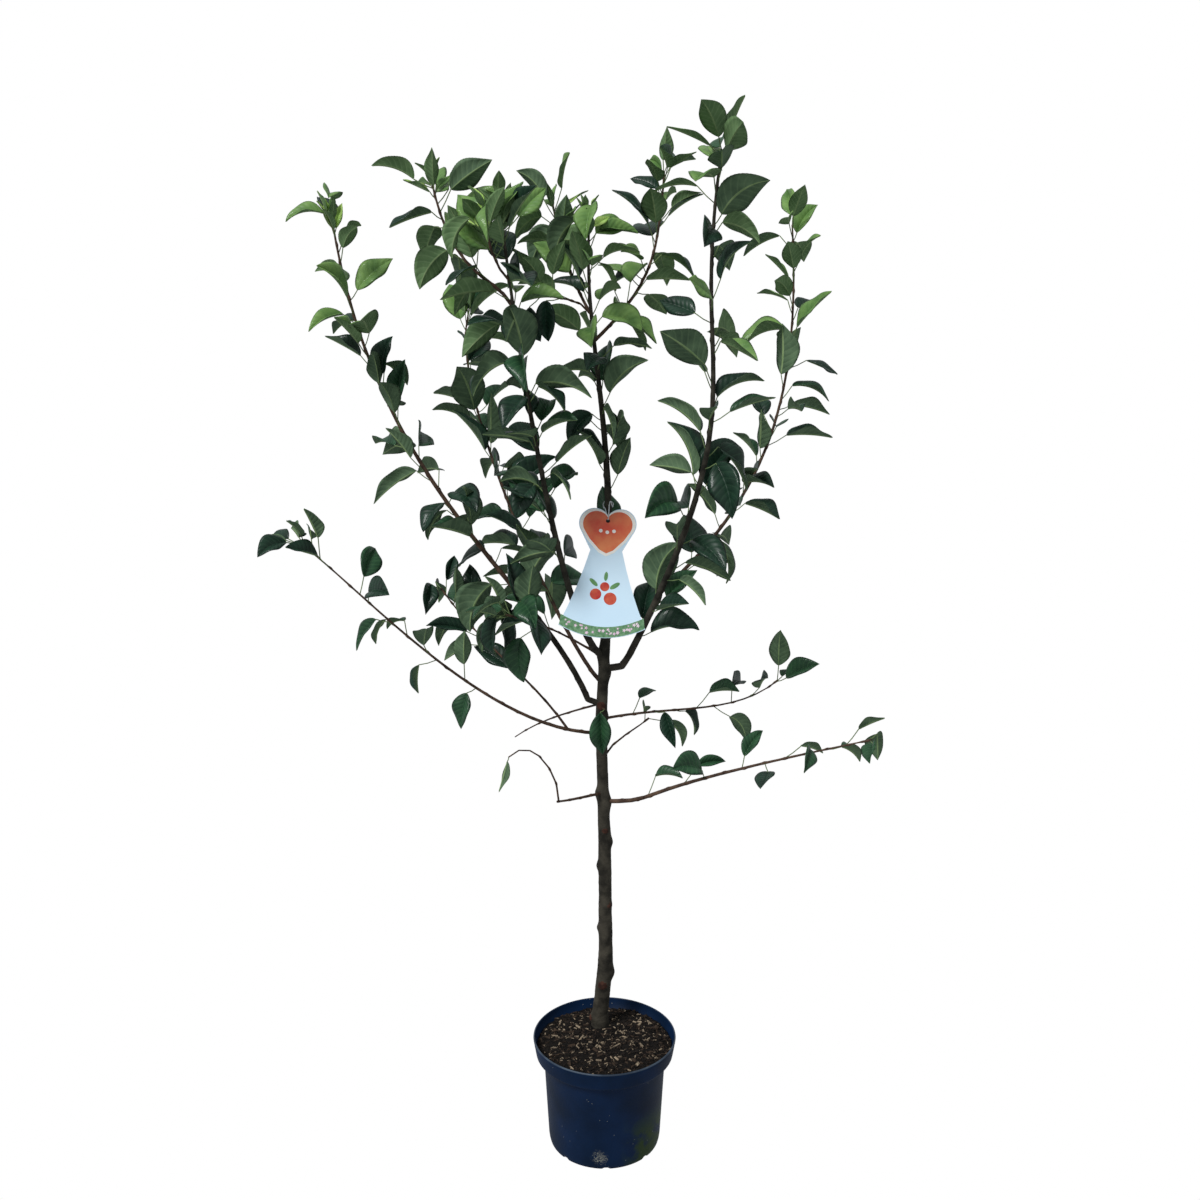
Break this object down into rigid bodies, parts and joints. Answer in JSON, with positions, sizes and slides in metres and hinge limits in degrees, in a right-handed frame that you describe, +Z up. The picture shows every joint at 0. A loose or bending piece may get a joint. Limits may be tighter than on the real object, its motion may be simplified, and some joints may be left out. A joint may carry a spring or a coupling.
{
  "type": "potted apple tree",
  "caption": "Young apple tree in leaf in a round nursery pot, with upright limbs, low side twigs and a heart-shaped hang tag.",
  "frame": {"origin": "centre of the pot's flat underside", "axes": "+Z up the tree, +X to the right in the picture, +Y away from its viewer"},
  "size_m": [0.8971, 0.5431, 1.6049],
  "materials": {
    "bark": "rough grey-brown bark",
    "foliage": "matt dark green leaves",
    "pot_plastic": "moulded, dark blue-black",
    "potting_mix": "moist, crumbly, with bark chips",
    "tag_card": "glossy printed sheet",
    "loop_cord": "thin pale cord"
  },
  "bodies": {
    "root": {"pot": "pot_plastic", "soil": "potting_mix", "trunk": "bark", "bough_front_right": "bark", "bough_back_right": "bark", "bough_left": "bark", "bough_low_right": "bark", "bough_right_spray": "bark", "bough_long_left": "bark", "bough_short_left": "bark", "bough_front_left": "bark", "bough_back_left": "bark", "bough_fork_twig": "bark", "bough_right_twig": "bark", "bough_left_stub": "bark", "bough_withered": "bark", "bough_bare_twig": "bark", "leaves_front_right": "foliage", "leaves_back_right": "foliage", "leaves_left": "foliage", "leaves_low_right": "foliage", "leaves_right_spray": "foliage", "leaves_long_left": "foliage", "leaves_short_left": "foliage", "leaves_front_left": "foliage", "leaves_leader": "foliage", "leaves_back_left": "foliage", "leaves_fork_twig": "foliage", "leaves_right_twig": "foliage", "leaves_trunk_spur": "foliage", "leaves_withered": "foliage", "tag": "tag_card", "tag_loop": "loop_cord"}
  },
  "joints": []
}
